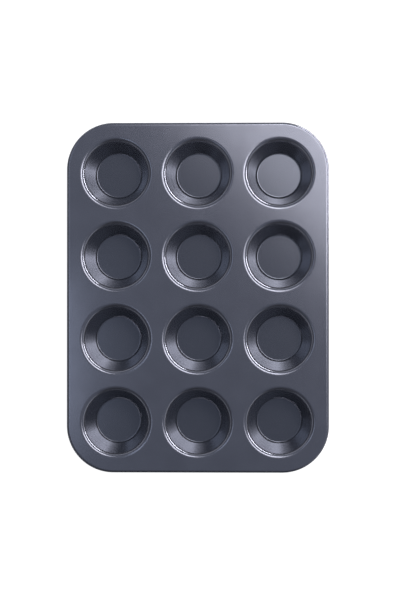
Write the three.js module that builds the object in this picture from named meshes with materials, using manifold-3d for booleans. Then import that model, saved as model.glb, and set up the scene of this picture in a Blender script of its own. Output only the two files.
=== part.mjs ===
// A twelve-cup muffin tin: one flat steel deck with its edge rolled round a wire, and twelve
// straight-sided round cups that hang from it. Millimetres, +Z up. The origin is under the centre
// of the tin, on the surface that the cups stand on.

import * as THREE from 'three';
import { mergeVertices } from 'three/addons/utils/BufferGeometryUtils.js';
import Module from 'manifold-3d';

// Cups, measured on the coated inside surface.
const COLUMNS = 3;
const ROWS = 4;
const MOUTH_RADIUS = 36.6;
const FLOOR_RADIUS = 21.7;
const CUP_DEPTH = 34.5;
const MOUTH_FILLET = 5.2;
const FLOOR_FILLET = 1.5;

// Deck: what is left between the mouths, and between the outer mouths and the edge.
const WEB_ACROSS = 8.8;
const WEB_ALONG = 10.2;
const BORDER_ACROSS = 13.1;
const BORDER_ALONG = 14.1;
const CORNER_RADIUS = 47;

// Sheet, wire and the gaps between pieces.
const SHEET = 0.5;
const WIRE_RADIUS = 2;
const WIRE_CLEARANCE = 0.1;
const MOUTH_LAND = 0.3;
const MOUTH_GAP = 0.3;

// Facets.
const CUP_SEGMENTS = 28;
const MOUTH_STEPS = 3;
const FLOOR_STEPS = 2;
const CORNER_STEPS = 8;
const BEAD_SIDES = 12;
const CURLED_SIDES = 10;

// Sizes worked out from the ones above.
const PITCH_ACROSS = 2 * MOUTH_RADIUS + WEB_ACROSS;
const PITCH_ALONG = 2 * MOUTH_RADIUS + WEB_ALONG;
const WIDTH = (COLUMNS - 1) * PITCH_ACROSS + 2 * (MOUTH_RADIUS + BORDER_ACROSS);
const LENGTH = (ROWS - 1) * PITCH_ALONG + 2 * (MOUTH_RADIUS + BORDER_ALONG);
const DECK_TOP = CUP_DEPTH + SHEET;
const CURL_INSIDE = WIRE_RADIUS + WIRE_CLEARANCE;
const CURL_OUTSIDE = CURL_INSIDE + SHEET;
const LIP_RADIUS = MOUTH_RADIUS + MOUTH_LAND;
const HOLE_RADIUS = LIP_RADIUS + MOUTH_GAP;

const coating = { color: 0x3b3f49, roughness: 0.38, metalness: 0.5 };
const bareWire = { color: 0x9a9c9f, roughness: 0.45, metalness: 1 };

const wasm = await Module();
wasm.setup();

function part(name, geometry, finish) {
  const mesh = new THREE.Mesh(geometry, new THREE.MeshStandardMaterial(finish));
  mesh.name = name;
  return mesh;
}

// ---- Solids for cutting and joining ----

function toSolid(geometry) {
  const bare = geometry.clone();
  bare.deleteAttribute('normal');
  bare.deleteAttribute('uv');
  const merged = mergeVertices(bare, 1e-4);
  const vertProperties = new Float32Array(merged.attributes.position.array);
  const triVerts = new Uint32Array(merged.index.array);
  return new wasm.Manifold(new wasm.Mesh({ numProp: 3, vertProperties, triVerts }));
}

function toGeometry(solid) {
  const mesh = solid.getMesh();
  const geometry = new THREE.BufferGeometry();
  geometry.setAttribute('position', new THREE.BufferAttribute(mesh.vertProperties, 3));
  geometry.setIndex(new THREE.BufferAttribute(mesh.triVerts, 1));
  geometry.computeVertexNormals();
  return geometry;
}

// ---- Outlines ----

// Points along an arc, from one angle to another, both ends included.
function arc(centreX, centreY, radius, fromDegrees, toDegrees, steps) {
  const points = [];
  for (let step = 0; step <= steps; step++) {
    const angle = THREE.MathUtils.degToRad(fromDegrees + ((toDegrees - fromDegrees) * step) / steps);
    points.push(new THREE.Vector2(centreX + radius * Math.cos(angle), centreY + radius * Math.sin(angle)));
  }
  return points;
}

// Centre of each corner arc, counter-clockwise from the +X +Y corner.
const CORNERS = [[1, 1], [-1, 1], [-1, -1], [1, -1]].map(([x, y]) =>
  new THREE.Vector2(x * (WIDTH / 2 - CORNER_RADIUS), y * (LENGTH / 2 - CORNER_RADIUS)));

// The deck's rounded rectangle, drawn in from the outside edge by one distance.
function deckOutline(inset) {
  return CORNERS.flatMap((corner, quarter) =>
    arc(corner.x, corner.y, CORNER_RADIUS - inset, 90 * quarter, 90 * (quarter + 1), CORNER_STEPS));
}

// A closed section (x from the corner centre, y up) carried round the rounded rectangle. It is a
// lathe whose quarters are moved out to the four corners, so that straight runs join them.
function roundTheDeck(section) {
  const closed = [...section, section[0]];
  const perQuarter = CORNER_STEPS + 1;
  const stations = 4 * perQuarter;
  const ring = new THREE.LatheGeometry(closed, stations);
  const place = ring.attributes.position;
  for (let station = 0; station <= stations; station++) {
    const quarter = Math.floor(station / perQuarter) % 4;
    const turn = ((quarter + (station % perQuarter) / CORNER_STEPS) * Math.PI) / 2;
    closed.forEach((point, i) => {
      const x = CORNERS[quarter].x + point.x * Math.cos(turn);
      const y = CORNERS[quarter].y + point.x * Math.sin(turn);
      place.setXYZ(station * closed.length + i, x, y, point.y);
    });
  }
  return ring;
}

// ---- Cups ----

// The slope of the cup's straight wall below level, where it is tangent to both fillets.
function wallSlopeDegrees() {
  const across = MOUTH_RADIUS - FLOOR_RADIUS;
  const fillets = MOUTH_FILLET + FLOOR_FILLET;
  const down = CUP_DEPTH - fillets;
  const slope = Math.atan2(down, across) + Math.asin(fillets / Math.hypot(across, down));
  return THREE.MathUtils.radToDeg(slope);
}

// The cup's section from the axis, down the coated inside and back up the outside.
function cupSection() {
  const slope = wallSlopeDegrees();
  const floorCentre = SHEET + FLOOR_FILLET;
  const mouthCentre = DECK_TOP - MOUTH_FILLET;
  const skin = (offset) => [
    ...arc(FLOOR_RADIUS, floorCentre, FLOOR_FILLET + offset, -90, slope - 90, FLOOR_STEPS),
    ...arc(MOUTH_RADIUS, mouthCentre, MOUTH_FILLET - offset, slope + 90, 90, MOUTH_STEPS),
  ];
  return [
    new THREE.Vector2(0, 0),
    ...skin(SHEET),
    new THREE.Vector2(LIP_RADIUS, DECK_TOP - SHEET),
    new THREE.Vector2(LIP_RADIUS, DECK_TOP),
    ...skin(0).reverse(),
    new THREE.Vector2(0, SHEET),
  ];
}

function cup() {
  return new THREE.LatheGeometry(cupSection(), CUP_SEGMENTS).rotateX(Math.PI / 2);
}

// Centre of each cup, by row and column counted from the -X -Y corner.
function cupCentre(row, column) {
  const x = (column - (COLUMNS - 1) / 2) * PITCH_ACROSS;
  const y = (row - (ROWS - 1) / 2) * PITCH_ALONG;
  return new THREE.Vector2(x, y);
}

// ---- Deck with its rolled rim ----

// The rolled edge: a flat tongue on the deck, then the curl, over the top and round under the wire.
function curlSection() {
  const centreX = CORNER_RADIUS - CURL_OUTSIDE;
  const centreY = DECK_TOP - CURL_OUTSIDE;
  const tongue = centreX - CURL_OUTSIDE;
  const end = 90 - (360 * CURLED_SIDES) / BEAD_SIDES;
  return [
    new THREE.Vector2(tongue, DECK_TOP - SHEET),
    ...arc(centreX, centreY, CURL_INSIDE, 90, end, CURLED_SIDES),
    ...arc(centreX, centreY, CURL_OUTSIDE, end, 90, CURLED_SIDES),
    new THREE.Vector2(tongue, DECK_TOP),
  ];
}

// The flat of the deck, with a round hole under each cup's lip. Its edge ends halfway along the
// tongue of the curl, so that the two join flush.
function deckPlate() {
  const plate = new THREE.Shape(deckOutline(1.5 * CURL_OUTSIDE));
  for (let row = 0; row < ROWS; row++) {
    for (let column = 0; column < COLUMNS; column++) {
      const centre = cupCentre(row, column);
      const rim = arc(centre.x, centre.y, HOLE_RADIUS, 0, 360, CUP_SEGMENTS).slice(0, -1);
      plate.holes.push(new THREE.Path(rim));
    }
  }
  const options = { depth: SHEET, bevelEnabled: false, steps: 1 };
  return new THREE.ExtrudeGeometry(plate, options).translate(0, 0, DECK_TOP - SHEET);
}

function deckSheet() {
  return toGeometry(toSolid(deckPlate()).add(toSolid(roundTheDeck(curlSection()))));
}

// ---- Rim wire ----

function rimWire() {
  const centreX = CORNER_RADIUS - CURL_OUTSIDE;
  const centreY = DECK_TOP - CURL_OUTSIDE;
  const section = arc(centreX, centreY, WIRE_RADIUS, 90, 450, BEAD_SIDES).slice(0, -1);
  return roundTheDeck(section);
}

// ---- Assembly ----

const tin = new THREE.Group();
tin.add(part('deck_sheet', deckSheet(), coating));
tin.add(part('rim_wire', rimWire(), bareWire));
for (let row = 0; row < ROWS; row++) {
  for (let column = 0; column < COLUMNS; column++) {
    const body = part(`cup_${row + 1}_${column + 1}`, cup(), coating);
    const centre = cupCentre(row, column);
    body.position.set(centre.x, centre.y, 0);
    tin.add(body);
  }
}

export default tin;
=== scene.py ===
"""A twelve-cup muffin tin: one sheet of dark coated steel with drawn cups, its edge rolled round a wire."""
from math import asin, atan, atan2, cos, hypot, pi, radians, sin

import bpy
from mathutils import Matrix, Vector


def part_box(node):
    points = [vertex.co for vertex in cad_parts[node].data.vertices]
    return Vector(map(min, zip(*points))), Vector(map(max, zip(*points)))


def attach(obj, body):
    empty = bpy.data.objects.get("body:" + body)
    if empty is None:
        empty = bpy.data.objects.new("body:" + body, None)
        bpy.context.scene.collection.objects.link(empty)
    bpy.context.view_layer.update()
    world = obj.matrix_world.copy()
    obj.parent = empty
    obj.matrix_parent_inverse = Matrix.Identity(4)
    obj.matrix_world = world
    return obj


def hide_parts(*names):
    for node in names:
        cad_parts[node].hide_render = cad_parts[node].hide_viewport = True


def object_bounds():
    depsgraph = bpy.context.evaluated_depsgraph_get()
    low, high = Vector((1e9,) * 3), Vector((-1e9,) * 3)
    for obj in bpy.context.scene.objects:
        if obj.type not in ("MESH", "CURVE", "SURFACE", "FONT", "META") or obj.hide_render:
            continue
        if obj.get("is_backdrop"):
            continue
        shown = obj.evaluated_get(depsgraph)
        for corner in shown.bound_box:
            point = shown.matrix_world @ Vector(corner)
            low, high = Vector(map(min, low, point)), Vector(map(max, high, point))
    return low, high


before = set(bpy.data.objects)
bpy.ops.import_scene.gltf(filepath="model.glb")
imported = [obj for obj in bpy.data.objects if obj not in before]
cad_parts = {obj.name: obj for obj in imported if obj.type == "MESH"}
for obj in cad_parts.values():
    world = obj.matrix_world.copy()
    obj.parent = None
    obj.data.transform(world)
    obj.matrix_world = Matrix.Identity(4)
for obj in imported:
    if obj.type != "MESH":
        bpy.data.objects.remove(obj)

CAD_LOW, CAD_HIGH = (Vector(corner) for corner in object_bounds())

# Sizes in metres. What the frame doesn't give is written here once.
MM = 0.001
ROWS, COLUMNS = 4, 3
SHEET = 0.5 * MM
MOUTH_LAND = 0.3 * MM
MOUTH_FILLET = 5.2 * MM
FLOOR_FILLET = 1.5 * MM
FLOOR_RADIUS = 21.7 * MM
CORNER_RADIUS = 47 * MM
CURL_ANGLE = radians(300)
FLAT_EDGE = 0.6 * MM  # a narrow flat band beside each curve keeps the flats and walls evenly shaded

# Points nearer than NEAR are one point, and HAIR widens a cut just enough to take in what lies on it.
NEAR = 0.01 * MM
HAIR = 0.001 * MM
SHARP_ANGLE = radians(35)  # edges that turn more than this stay crisp

# How finely each curve is cut.
ROUND_STEPS = 160
FLOOR_FILLET_STEPS = 8
MOUTH_FILLET_STEPS = 12
CORNER_STEPS = 36
CURL_STEPS = 30
WIRE_SIDES = 24

# Sizes that follow from the frame.
CUP_LOW, CUP_HIGH = (Vector(corner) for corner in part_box("cup_1_1"))
WIRE_LOW, WIRE_HIGH = (Vector(corner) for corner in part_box("rim_wire"))
DECK_LOW, DECK_HIGH = (Vector(corner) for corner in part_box("deck_sheet"))
DECK_TOP = CAD_HIGH.z
LIP_RADIUS = (CUP_HIGH.x - CUP_LOW.x) / 2
MOUTH_RADIUS = LIP_RADIUS - MOUTH_LAND
WIRE_RADIUS = (WIRE_HIGH.z - WIRE_LOW.z) / 2
BEAD_RADIUS = (DECK_HIGH.z - DECK_LOW.z) / 2
CORNER_X = CAD_HIGH.x - CORNER_RADIUS
CORNER_Y = CAD_HIGH.y - CORNER_RADIUS


# ---- Small helpers for work in edit mode ----

def start_piece(name):
    """A new mesh object holding one point at the origin, open in edit mode with that point selected."""
    bpy.ops.object.select_all(action="DESELECT")
    bpy.ops.mesh.primitive_plane_add(size=MM)
    piece = bpy.context.object
    piece.name = name
    piece.data.name = name
    bpy.ops.object.mode_set(mode="EDIT")
    bpy.ops.mesh.select_mode(type="VERT")
    bpy.ops.mesh.select_all(action="SELECT")
    bpy.ops.mesh.merge(type="CENTER")
    return piece


def move_point(x, y, z):
    """Moves what is selected."""
    bpy.ops.transform.translate(value=(x, y, z))


def pull_point(x, z):
    """Extrudes the selected end of a section to make its next straight."""
    bpy.ops.mesh.extrude_region_move(TRANSFORM_OT_translate={"value": (x, 0, z)})


def turn(steps, angle, centre, axis):
    """Spins what is selected about an axis, by the right-hand rule, against the operator's own sense."""
    bpy.ops.mesh.spin(steps=steps, angle=-angle, center=centre, axis=axis)


def select_points(piece, wanted):
    """Selects just the points whose place passes the test."""
    bpy.ops.mesh.select_mode(type="VERT")
    bpy.ops.mesh.select_all(action="DESELECT")
    bpy.ops.object.mode_set(mode="OBJECT")
    for point in piece.data.vertices:
        point.select = wanted(point.co)
    bpy.ops.object.mode_set(mode="EDIT")


def weld():
    """Merges points that lie together over the whole mesh."""
    bpy.ops.mesh.select_all(action="SELECT")
    bpy.ops.mesh.remove_doubles(threshold=NEAR)


def face_up(piece, at_top):
    """Makes the faces agree, with the ones at the given height looking up."""
    bpy.ops.mesh.select_all(action="SELECT")
    bpy.ops.mesh.normals_make_consistent(inside=False)
    bpy.ops.object.mode_set(mode="OBJECT")
    level = [f for f in piece.data.polygons if abs(f.center.z - at_top) < NEAR]
    turned_down = sum(f.area * f.normal.z for f in level) < 0
    bpy.ops.object.mode_set(mode="EDIT")
    if turned_down:
        bpy.ops.mesh.select_all(action="SELECT")
        bpy.ops.mesh.flip_normals()


def add_modifier(piece, kind, **settings):
    """Adds a modifier and applies it."""
    modifier = piece.modifiers.new(kind.lower(), kind)
    for key, value in settings.items():
        setattr(modifier, key, value)
    bpy.context.view_layer.objects.active = piece
    bpy.ops.object.modifier_apply(modifier=modifier.name)


def give_thickness(piece):
    """Thickens a surface to the sheet's thickness, away from its coated top."""
    add_modifier(piece, "SOLIDIFY", thickness=SHEET, offset=-1, use_even_offset=True)


def finish_piece(piece, material, node):
    """Smooths the piece, gives it its material, hangs it under the root body and hides the node that it
    stands for.
    """
    bpy.ops.object.select_all(action="DESELECT")
    piece.select_set(True)
    bpy.context.view_layer.objects.active = piece
    bpy.ops.object.shade_smooth_by_angle(angle=SHARP_ANGLE)
    piece.data.materials.clear()
    piece.data.materials.append(material)
    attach(piece, "root")
    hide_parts(node)


# ---- Cups ----

def cup_places():
    """Each cup's node, with the place of its axis."""
    places = []
    for row in range(1, ROWS + 1):
        for column in range(1, COLUMNS + 1):
            node = f"cup_{row}_{column}"
            low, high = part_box(node)
            places.append((node, (low[0] + high[0]) / 2, (low[1] + high[1]) / 2))
    return places


def wall_slope():
    """The angle of the straight wall below level, where it is tangent to both fillets."""
    across = MOUTH_RADIUS - FLOOR_RADIUS
    fillets = MOUTH_FILLET + FLOOR_FILLET
    down = DECK_TOP - SHEET - fillets
    return atan2(down, across) + asin(fillets / hypot(across, down))


def model_cup():
    """One cup at the origin: its inside section drawn from the axis outwards, then spun."""
    slope = wall_slope()
    cup = start_piece("cup_master")
    move_point(0, 0, SHEET)
    pull_point(FLOOR_RADIUS - FLAT_EDGE, 0)
    pull_point(FLAT_EDGE, 0)
    turn(FLOOR_FILLET_STEPS, -slope, (FLOOR_RADIUS, 0, SHEET + FLOOR_FILLET), (0, 1, 0))
    across = MOUTH_RADIUS - FLOOR_RADIUS - (MOUTH_FILLET + FLOOR_FILLET) * sin(slope)
    rise = across * sin(slope) / cos(slope)
    edge_across = FLAT_EDGE * cos(slope)
    edge_rise = FLAT_EDGE * sin(slope)
    pull_point(edge_across, edge_rise)
    pull_point(across - 2 * edge_across, rise - 2 * edge_rise)
    pull_point(edge_across, edge_rise)
    turn(MOUTH_FILLET_STEPS, slope, (MOUTH_RADIUS, 0, DECK_TOP - MOUTH_FILLET), (0, 1, 0))
    pull_point(MOUTH_LAND, 0)
    bpy.ops.mesh.select_all(action="SELECT")
    turn(ROUND_STEPS, 2 * pi, (0, 0, 0), (0, 0, 1))
    weld()
    face_up(cup, DECK_TOP)
    bpy.ops.object.mode_set(mode="OBJECT")
    give_thickness(cup)
    return cup


def place_cups(master, material):
    """A copy of the master in each place, with its own mesh moved there."""
    for node, x, y in cup_places():
        cup = bpy.data.objects.new(f"pan_{node}", master.data.copy())
        bpy.context.collection.objects.link(cup)
        bpy.ops.object.select_all(action="DESELECT")
        cup.select_set(True)
        bpy.context.view_layer.objects.active = cup
        cup.location = (x, y, 0)
        bpy.ops.object.transform_apply(location=True, rotation=False, scale=False)
        finish_piece(cup, material, node)
    bpy.data.objects.remove(master)


# ---- Rim and deck ----

def quarter_round_the_deck(piece):
    """Carries the section that stands at the +X side round one corner, then out to the middle planes."""
    bpy.ops.mesh.select_all(action="SELECT")
    turn(CORNER_STEPS, pi / 2, (CORNER_X, CORNER_Y, 0), (0, 0, 1))
    select_points(piece, lambda p: p.x < CORNER_X + HAIR)
    bpy.ops.mesh.extrude_region_move(TRANSFORM_OT_translate={"value": (-CORNER_X, 0, 0)})
    select_points(piece, lambda p: p.y < CORNER_Y + HAIR)
    bpy.ops.mesh.extrude_region_move(TRANSFORM_OT_translate={"value": (0, -CORNER_Y, 0)})
    weld()
    bpy.ops.object.mode_set(mode="OBJECT")
    axes = (True, True, False)
    add_modifier(piece, "MIRROR", use_axis=axes, use_clip=True, merge_threshold=NEAR)


def draw_rim_section():
    """The rolled edge's section: a short flat, then the curl over the wire and round under it."""
    rim = start_piece("pan_deck")
    start = CAD_HIGH.x - BEAD_RADIUS
    move_point(start - FLAT_EDGE, CORNER_Y, DECK_TOP)
    pull_point(FLAT_EDGE, 0)
    turn(CURL_STEPS, CURL_ANGLE, (start, 0, DECK_TOP - BEAD_RADIUS), (0, 1, 0))
    return rim


def add_mouth_rings():
    """A narrow flat ring round each mouth, from the radius where the cup's lip ends."""
    grow = (LIP_RADIUS + FLAT_EDGE) / LIP_RADIUS
    for _, x, y in cup_places():
        place = (x, y, DECK_TOP)
        bpy.ops.mesh.select_all(action="DESELECT")
        bpy.ops.mesh.primitive_circle_add(vertices=ROUND_STEPS, radius=LIP_RADIUS, location=place)
        bpy.ops.mesh.extrude_edges_move()
        bpy.ops.transform.resize(value=(grow, grow, 1), center_override=place)


def single_edges(piece):
    """The edges that just one face uses."""
    used = {}
    for face in piece.data.polygons:
        for key in face.edge_keys:
            used[key] = used.get(key, 0) + 1
    return {key for key, count in used.items() if count == 1}


def bounds_the_flat(a, b, places):
    """Whether an edge at the deck's level is off every mouth, or on the outer circle of a mouth's ring."""
    for _, x, y in places:
        from_a = hypot(a.x - x, a.y - y)
        from_b = hypot(b.x - x, b.y - y)
        ring = LIP_RADIUS + FLAT_EDGE
        if abs(from_a - ring) < NEAR and abs(from_b - ring) < NEAR:
            return True
        if from_a < LIP_RADIUS + NEAR:
            return False
    return True


def fill_deck(deck):
    """Fills the flat between the rim's inner edge and the rings round the mouths."""
    bpy.ops.mesh.select_mode(type="EDGE")
    bpy.ops.mesh.select_all(action="DESELECT")
    bpy.ops.object.mode_set(mode="OBJECT")
    places = cup_places()
    single = single_edges(deck)
    points = deck.data.vertices
    for edge in deck.data.edges:
        a, b = (points[i].co for i in edge.vertices)
        level = abs(a.z - DECK_TOP) < NEAR and abs(b.z - DECK_TOP) < NEAR
        edge.select = level and edge.key in single and bounds_the_flat(a, b, places)
    bpy.ops.object.mode_set(mode="EDIT")
    bpy.ops.mesh.fill(use_beauty=True)


def model_deck():
    """The flat deck, open at each mouth, with its rolled rim."""
    deck = draw_rim_section()
    quarter_round_the_deck(deck)
    bpy.ops.object.mode_set(mode="EDIT")
    add_mouth_rings()
    fill_deck(deck)
    weld()
    face_up(deck, DECK_TOP)
    bpy.ops.object.mode_set(mode="OBJECT")
    give_thickness(deck)
    return deck


def model_wire():
    """The round wire inside the rim."""
    wire = start_piece("wire_in_rim")
    centre = CAD_HIGH.x - BEAD_RADIUS
    move_point(centre + WIRE_RADIUS, CORNER_Y, DECK_TOP - BEAD_RADIUS)
    turn(WIRE_SIDES, 2 * pi, (centre, CORNER_Y, DECK_TOP - BEAD_RADIUS), (0, 1, 0))
    weld()
    quarter_round_the_deck(wire)
    bpy.ops.object.mode_set(mode="EDIT")
    bpy.ops.mesh.select_all(action="SELECT")
    bpy.ops.mesh.normals_make_consistent(inside=False)
    bpy.ops.object.mode_set(mode="OBJECT")
    return wire


# ---- Materials ----

GRAIN = 0.5 * MM  # the sprayed coat's own grain
CLOUD = 25 * MM  # slow change where the film is uneven
DRAW_MARK = 4 * MM  # the widest of the marks that drawing leaves on the walls
FLOOR_SHADE_LOW, FLOOR_SHADE_HIGH = 2 * MM, 5 * MM  # heights between which the painted shade on the cup floors fades out
# How far a face looks up or down: it is a wall up to the first and a flat from the second.
WALL_NORMAL, DECK_NORMAL = 0.3, 0.45
WIRE_SCORE = 3 * MM  # length of the scoring on the wire


def linear(code):
    """An sRGB hex colour as linear red, green, blue and full alpha."""
    values = [int(code[i:i + 2], 16) / 255 for i in (0, 2, 4)]
    return [v / 12.92 if v <= 0.04045 else ((v + 0.055) / 1.055) ** 2.4 for v in values] + [1]


def add_node(tree, kind, settings=None, links=None):
    """Adds a shader node, with its settings by attribute or input name, and links from other outputs."""
    made = tree.nodes.new(kind)
    for key, value in (settings or {}).items():
        if hasattr(made, key):
            setattr(made, key, value)
        else:
            made.inputs[key].default_value = value
    for key, output in (links or {}).items():
        tree.links.new(output, made.inputs[key])
    return made


def new_material(name):
    """An empty node material and its tree."""
    material = bpy.data.materials.new(name)
    material.use_nodes = True
    material.node_tree.nodes.clear()
    return material, material.node_tree


def wall_sheen_mask(tree):
    """One where the sheet stands steep, as on the cup walls, and nought on the flats: it marks where the
    walls are given extra sheen.
    """
    facing = add_node(tree, "ShaderNodeNewGeometry").outputs["True Normal"]
    lie = add_node(tree, "ShaderNodeSeparateXYZ", {}, {"Vector": facing})
    level = add_node(tree, "ShaderNodeMath", {"operation": "ABSOLUTE"}, {0: lie.outputs["Z"]})
    steep = add_node(
        tree,
        "ShaderNodeMapRange",
        {"From Min": WALL_NORMAL, "From Max": DECK_NORMAL, "To Min": 1.0, "To Max": 0.0},
        {"Value": level.outputs[0]},
    )
    return steep.outputs[0]


def coat_colour(tree, place, wall_sheen):
    """Clouded grey film, with painted shade darkening the cup floors and painted sheen making the steep walls
    paler.
    """
    cloud = add_node(tree, "ShaderNodeTexNoise", {"Scale": 1 / CLOUD, "Detail": 2}, {"Vector": place})
    film = add_node(tree, "ShaderNodeValToRGB", {}, {"Fac": cloud.outputs[0]})
    film.color_ramp.elements[0].position = 0.3
    film.color_ramp.elements[0].color = linear("84858b")
    film.color_ramp.elements[1].position = 0.7
    film.color_ramp.elements[1].color = linear("8a8b91")
    depth = add_node(tree, "ShaderNodeSeparateXYZ", {}, {"Vector": place})
    # Painted shade: the cup floors and the foot of their walls are painted darker, standing in for the shade
    # deep in each cup.
    floor_shade = add_node(
        tree,
        "ShaderNodeMapRange",
        {"From Min": FLOOR_SHADE_LOW, "From Max": FLOOR_SHADE_HIGH, "To Min": 1.0, "To Max": 0.0},
        {"Value": depth.outputs["Z"]},
    )
    coat = add_node(
        tree,
        "ShaderNodeMixRGB",
        {"Color2": linear("75777d")},
        {"Fac": floor_shade.outputs[0], "Color1": film.outputs[0]},
    )
    # Painted sheen: the steep walls are painted paler, which brightens the light they mirror.
    colour = add_node(
        tree,
        "ShaderNodeMixRGB",
        {"Color2": linear("a4a5aa")},
        {"Fac": wall_sheen, "Color1": coat.outputs[0]},
    )
    return colour.outputs[0]


def coat_roughness(tree, grain, wall_sheen):
    """Satin that varies with the grain, and is lower by three tenths on the steep walls."""
    dull = add_node(tree, "ShaderNodeMapRange", {"To Min": 0.17, "To Max": 0.21}, {"Value": grain})
    rub = add_node(tree, "ShaderNodeMapRange", {"To Min": 1.0, "To Max": 0.7}, {"Value": wall_sheen})
    product = add_node(
        tree, "ShaderNodeMath", {"operation": "MULTIPLY"}, {0: dull.outputs[0], 1: rub.outputs[0]}
    )
    return product.outputs[0]


def coat_relief(tree, place, grain):
    """Level drawing marks that show through the coat, under the faint orange peel of the spray.

    The marks are drawn coarser than real ones, so that they show: the widest are 4 mm apart.
    """
    squeeze = add_node(tree, "ShaderNodeMapping", {"Scale": (0.02, 0.02, 1)}, {"Vector": place})
    marks = add_node(
        tree, "ShaderNodeTexNoise", {"Scale": 1 / DRAW_MARK, "Detail": 4}, {"Vector": squeeze.outputs[0]}
    )
    draw = add_node(
        tree, "ShaderNodeBump", {"Strength": 0.4, "Distance": 0.35 * MM}, {"Height": marks.outputs[0]}
    )
    peel = add_node(
        tree,
        "ShaderNodeBump",
        {"Strength": 0.1, "Distance": 0.05 * MM},
        {"Height": grain, "Normal": draw.outputs[0]},
    )
    return peel.outputs[0]


def non_stick_coating():
    """Sprayed and baked non-stick coating with metal flake, on steel: satin grey with a fine orange peel.

    It mirrors the room softly, so it looks dark blue-grey in a dim one. More of the flake shows on the walls.
    """
    material, tree = new_material("sprayed_non_stick_coating")
    place = add_node(tree, "ShaderNodeTexCoord").outputs["Object"]
    speckle = add_node(tree, "ShaderNodeTexNoise", {"Scale": 1 / GRAIN, "Detail": 3}, {"Vector": place})
    grain = speckle.outputs[0]
    wall_sheen = wall_sheen_mask(tree)
    flake = add_node(tree, "ShaderNodeMapRange", {"To Min": 0.8, "To Max": 0.95}, {"Value": wall_sheen})
    surface = add_node(
        tree,
        "ShaderNodeBsdfPrincipled",
        {},
        {
            "Base Color": coat_colour(tree, place, wall_sheen),
            "Metallic": flake.outputs[0],
            "Roughness": coat_roughness(tree, grain, wall_sheen),
            "Normal": coat_relief(tree, place, grain),
        },
    )
    add_node(tree, "ShaderNodeOutputMaterial", {}, {"Surface": surface.outputs[0]})
    return material


def drawn_steel_wire():
    """Drawn steel wire: plain grey metal with fine scoring along it."""
    material, tree = new_material("drawn_steel_wire")
    place = add_node(tree, "ShaderNodeTexCoord").outputs["Object"]
    squeeze = add_node(tree, "ShaderNodeMapping", {"Scale": (1, 1, 20)}, {"Vector": place})
    score = add_node(
        tree, "ShaderNodeTexNoise", {"Scale": 1 / WIRE_SCORE, "Detail": 3}, {"Vector": squeeze.outputs[0]}
    )
    dull = add_node(tree, "ShaderNodeMapRange", {"To Min": 0.35, "To Max": 0.55}, {"Value": score.outputs[0]})
    surface = add_node(
        tree,
        "ShaderNodeBsdfPrincipled",
        {"Base Color": linear("9a9c9f"), "Metallic": 1.0},
        {"Roughness": dull.outputs[0]},
    )
    add_node(tree, "ShaderNodeOutputMaterial", {}, {"Surface": surface.outputs[0]})
    return material


# ---- Stage, light and camera ----

TABLE_SIZE = 12.0
TABLE_GAP = 0.2 * MM  # keeps the table clear of the cups' undersides
TABLE_BOUNCE = "9a9a9a"  # the light that the table throws up under the tin
CAMERA_HEIGHT = 1.69  # above the deck
CAMERA_X, CAMERA_Y = 0.0605, -0.0125  # the point straight below the camera, from the tin's centre
SENSOR_WIDTH = 36  # millimetres
VIEW_LENGTH = 0.6027  # what the long side of the view takes in on the deck
VIEW_X, VIEW_Y = 0.0029, -0.0030  # the middle of the view on the deck
SHIFT = -0.03  # sideways, as a share of the view

# Light as linear red, green and blue.
HORIZON_LIGHT = (1.1, 1.12, 1.22, 1)
OVERHEAD_LIGHT = (0.178, 0.2, 0.265, 1)
WHITE_LIGHT = (1.0, 0.99, 1.07)
COOL_LIGHT = (0.85, 0.95, 1.2)


def pale_floor():
    """A matt table that looks white, bounces light as mid grey does, and can be seen through from below."""
    bpy.ops.object.select_all(action="DESELECT")
    bpy.ops.mesh.primitive_plane_add(size=TABLE_SIZE, location=(0, 0, -TABLE_GAP))
    floor = bpy.context.object
    floor.name = "floor"
    material, tree = new_material("matt_table")
    matt = add_node(tree, "ShaderNodeBsdfDiffuse", {"Color": linear(TABLE_BOUNCE)})
    path = add_node(tree, "ShaderNodeLightPath")
    lift = add_node(
        tree, "ShaderNodeEmission", {"Color": linear("ffffff")}, {"Strength": path.outputs["Is Camera Ray"]}
    )
    both = add_node(tree, "ShaderNodeAddShader")
    tree.links.new(matt.outputs[0], both.inputs[0])
    tree.links.new(lift.outputs[0], both.inputs[1])
    side = add_node(tree, "ShaderNodeNewGeometry")
    clear = add_node(tree, "ShaderNodeBsdfTransparent")
    pick = add_node(tree, "ShaderNodeMixShader", {}, {"Fac": side.outputs["Backfacing"]})
    tree.links.new(both.outputs[0], pick.inputs[1])
    tree.links.new(clear.outputs[0], pick.inputs[2])
    add_node(tree, "ShaderNodeOutputMaterial", {}, {"Surface": pick.outputs[0]})
    floor.data.materials.append(material)
    floor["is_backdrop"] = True


def softbox(name, place, aim, size, brightness, colour):
    """An oblong soft light of an even brightness, facing a point."""
    light = bpy.data.lights.new(name, "AREA")
    light.shape = "RECTANGLE"
    light.size, light.size_y = size
    light.energy = brightness * pi * size[0] * size[1]
    light.color = colour
    lamp = bpy.data.objects.new(name, light)
    bpy.context.collection.objects.link(lamp)
    lamp.location = place
    lamp.rotation_mode = "QUATERNION"
    lamp.rotation_quaternion = (Vector(aim) - Vector(place)).to_track_quat("-Z", "Y")


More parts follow.
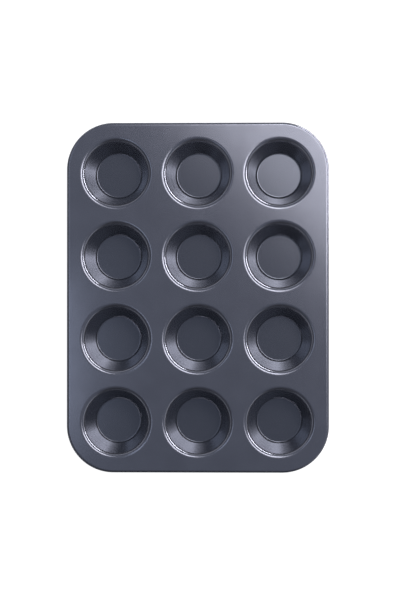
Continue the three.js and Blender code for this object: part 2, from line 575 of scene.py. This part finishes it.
def studio_room():
    """A dim room with pale walls: light near the horizon and dark overhead."""
    world = bpy.data.worlds.new("studio_room")
    bpy.context.scene.world = world
    world.use_nodes = True
    tree = world.node_tree
    tree.nodes.clear()
    look = add_node(tree, "ShaderNodeTexCoord")
    split = add_node(tree, "ShaderNodeSeparateXYZ", {}, {"Vector": look.outputs["Generated"]})
    height = add_node(tree, "ShaderNodeValToRGB", {}, {"Fac": split.outputs["Z"]})
    ramp = height.color_ramp
    ramp.elements[0].position = 0.0
    ramp.elements[0].color = HORIZON_LIGHT
    ramp.elements[1].position = 0.35
    ramp.elements[1].color = OVERHEAD_LIGHT
    # The room is darker towards the near left corner, away from the softboxes, except low down.
    across = add_node(
        tree, "ShaderNodeMath", {"operation": "ADD"}, {0: split.outputs["X"], 1: split.outputs["Y"]}
    )
    shade = add_node(
        tree,
        "ShaderNodeMapRange",
        {"From Min": -0.65, "From Max": -0.3, "To Min": 0.4, "To Max": 1.0},
        {"Value": across.outputs[0]},
    )
    low = add_node(
        tree,
        "ShaderNodeMapRange",
        {"From Min": 0.05, "From Max": 0.25, "To Min": 1.0, "To Max": 0.0},
        {"Value": split.outputs["Z"]},
    )
    level = add_node(
        tree, "ShaderNodeMath", {"operation": "MAXIMUM"}, {0: shade.outputs[0], 1: low.outputs[0]}
    )
    # It is dark as well low down in the direction of -Y.
    near = add_node(
        tree,
        "ShaderNodeMapRange",
        {"From Min": -0.95, "From Max": -0.75, "To Min": 0.12, "To Max": 1.0},
        {"Value": split.outputs["Y"]},
    )
    power = add_node(
        tree, "ShaderNodeMath", {"operation": "MULTIPLY"}, {0: level.outputs[0], 1: near.outputs[0]}
    )
    glow = add_node(
        tree, "ShaderNodeBackground", {}, {"Color": height.outputs[0], "Strength": power.outputs[0]}
    )
    add_node(tree, "ShaderNodeOutputWorld", {}, {"Surface": glow.outputs[0]})


def light_the_studio():
    """A softbox with a bright heart beyond the far right corner, a low one past it and two weak at left."""
    aim = (0.05, 0.04, DECK_TOP)
    softbox("key_softbox", (0.270, 0.258, DECK_TOP + 0.79), aim, (0.9, 0.42), 1.5, WHITE_LIGHT)
    softbox("key_softbox_heart", (0.298, 0.285, DECK_TOP + 0.75), aim, (0.65, 0.2), 3.6, WHITE_LIGHT)
    softbox("low_side_softbox", (0.60, 0.45, 0.10), (0, 0, 0.10), (0.9, 0.14), 14.0, WHITE_LIGHT)
    reflector = (-0.265, -0.085, DECK_TOP + 0.70)
    softbox("left_reflector", reflector, (0.0, -0.085, DECK_TOP), (0.24, 0.12), 0.95, COOL_LIGHT)
    window = (-0.38, 0.18, DECK_TOP + 0.70)
    softbox("left_window", window, (-0.1, 0.18, DECK_TOP), (0.35, 0.12), 0.9, COOL_LIGHT)


def set_camera():
    """A long lens nearly straight above the tin, a little to its right."""
    camera = bpy.data.cameras.new("camera")
    camera.sensor_width = SENSOR_WIDTH
    camera.lens = camera.sensor_width * CAMERA_HEIGHT / VIEW_LENGTH
    camera.shift_x = SHIFT
    eye = bpy.data.objects.new("camera", camera)
    bpy.context.collection.objects.link(eye)
    eye.location = (CAMERA_X, CAMERA_Y, DECK_TOP + CAMERA_HEIGHT)
    aim_x = VIEW_X - SHIFT * VIEW_LENGTH
    tilt_x = atan((VIEW_Y - CAMERA_Y) / CAMERA_HEIGHT)
    tilt_y = atan((CAMERA_X - aim_x) / CAMERA_HEIGHT)
    eye.rotation_euler = (tilt_x, tilt_y, 0)
    bpy.context.scene.camera = eye
    bpy.context.scene.view_settings.view_transform = "Standard"


def build():
    """Models every piece, then sets the stage."""
    coating = non_stick_coating()
    place_cups(model_cup(), coating)
    finish_piece(model_deck(), coating, "deck_sheet")
    finish_piece(model_wire(), drawn_steel_wire(), "rim_wire")
    pale_floor()
    studio_room()
    light_the_studio()
    set_camera()


build()
